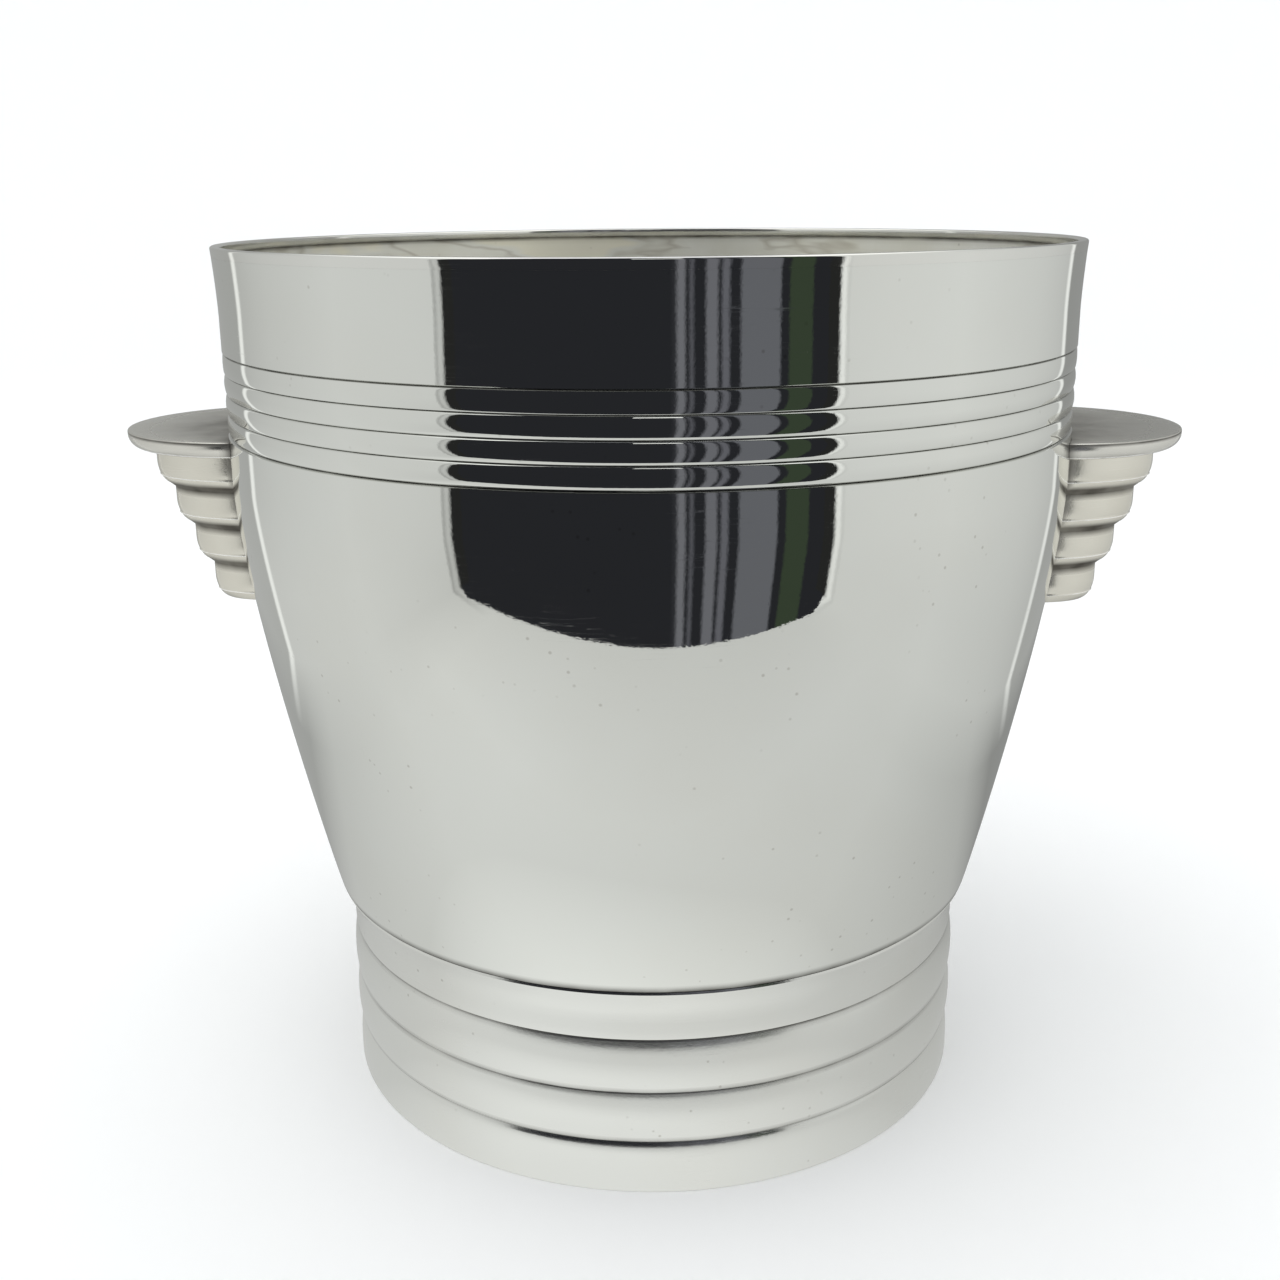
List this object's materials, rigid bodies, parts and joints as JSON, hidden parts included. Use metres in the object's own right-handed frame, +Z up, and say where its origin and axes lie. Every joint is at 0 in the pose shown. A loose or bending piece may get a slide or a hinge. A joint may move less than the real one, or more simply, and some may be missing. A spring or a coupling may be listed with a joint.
{
  "type": "champagne bucket",
  "caption": "Round silver-plated champagne bucket: reeded upper band, tapering belly, ringed cylindrical foot, half-round thumb plates on stepped brackets",
  "frame": {"origin": "centre of the plane that the foot stands on", "axes": "+Z up through the bucket's axis, the two handles lie on +X and -X, the front faces -Y"},
  "size_m": [0.2544, 0.2, 0.205],
  "materials": {
    "vessel_silver": "mirror-polished silver plate with fine scratches",
    "rim_silver": "polished silver plate, worn bright along the edge",
    "foot_silver": "polished silver plate with incised lines darkened by tarnish",
    "base_silver": "polished silver plate, scuffed along the lower edge",
    "plate_silver": "hand-worn polished silver plate",
    "bracket_silver": "silver plate, warm tarnish in the hollows"
  },
  "bodies": {
    "root": {"vessel_body": "vessel_silver", "rim_wire": "rim_silver", "foot_collar": "foot_silver", "foot_base_ring": "base_silver", "handle_left_plate": "plate_silver", "handle_right_plate": "plate_silver", "handle_left_bracket": "bracket_silver", "handle_right_bracket": "bracket_silver"}
  },
  "joints": []
}
